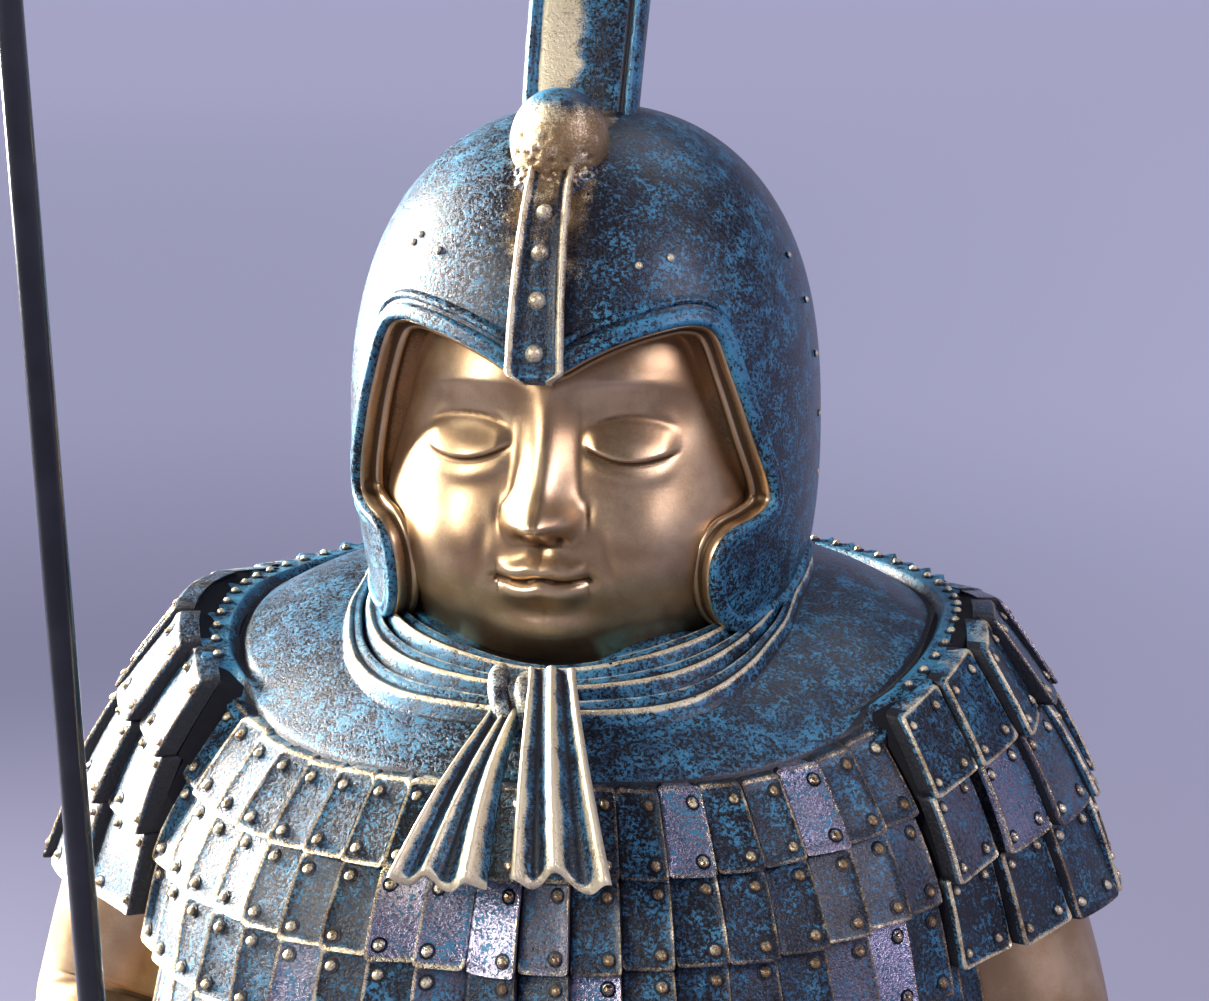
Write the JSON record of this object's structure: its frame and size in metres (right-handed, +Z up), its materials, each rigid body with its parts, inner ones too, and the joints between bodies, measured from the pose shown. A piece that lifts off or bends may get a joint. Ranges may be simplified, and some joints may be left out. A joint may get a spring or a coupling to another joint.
{
  "type": "warrior statue",
  "caption": "Plump standing warrior figurine in a crested helmet and lamellar armour, holding a long spear upright in one fist, on a low round base.",
  "frame": {"origin": "centre of the base's underside, on the surface the statue stands on", "axes": "+Z up, -Y out of the warrior's chest, +X towards the warrior's left hand"},
  "size_m": [0.2291, 0.228, 0.6103],
  "materials": {
    "patina": "satin blue patina speckled over near-black, worn to pale gold on the edges",
    "bare_bronze": "satin antique bronze with dark hollows",
    "shaft_black": "gloss black",
    "base_finish": "satin dark patina with a worn bronze edge"
  },
  "bodies": {
    "root": {"figure": "patina", "base": "base_finish", "spear_shaft": "shaft_black", "spear_head": "bare_bronze"}
  },
  "joints": []
}
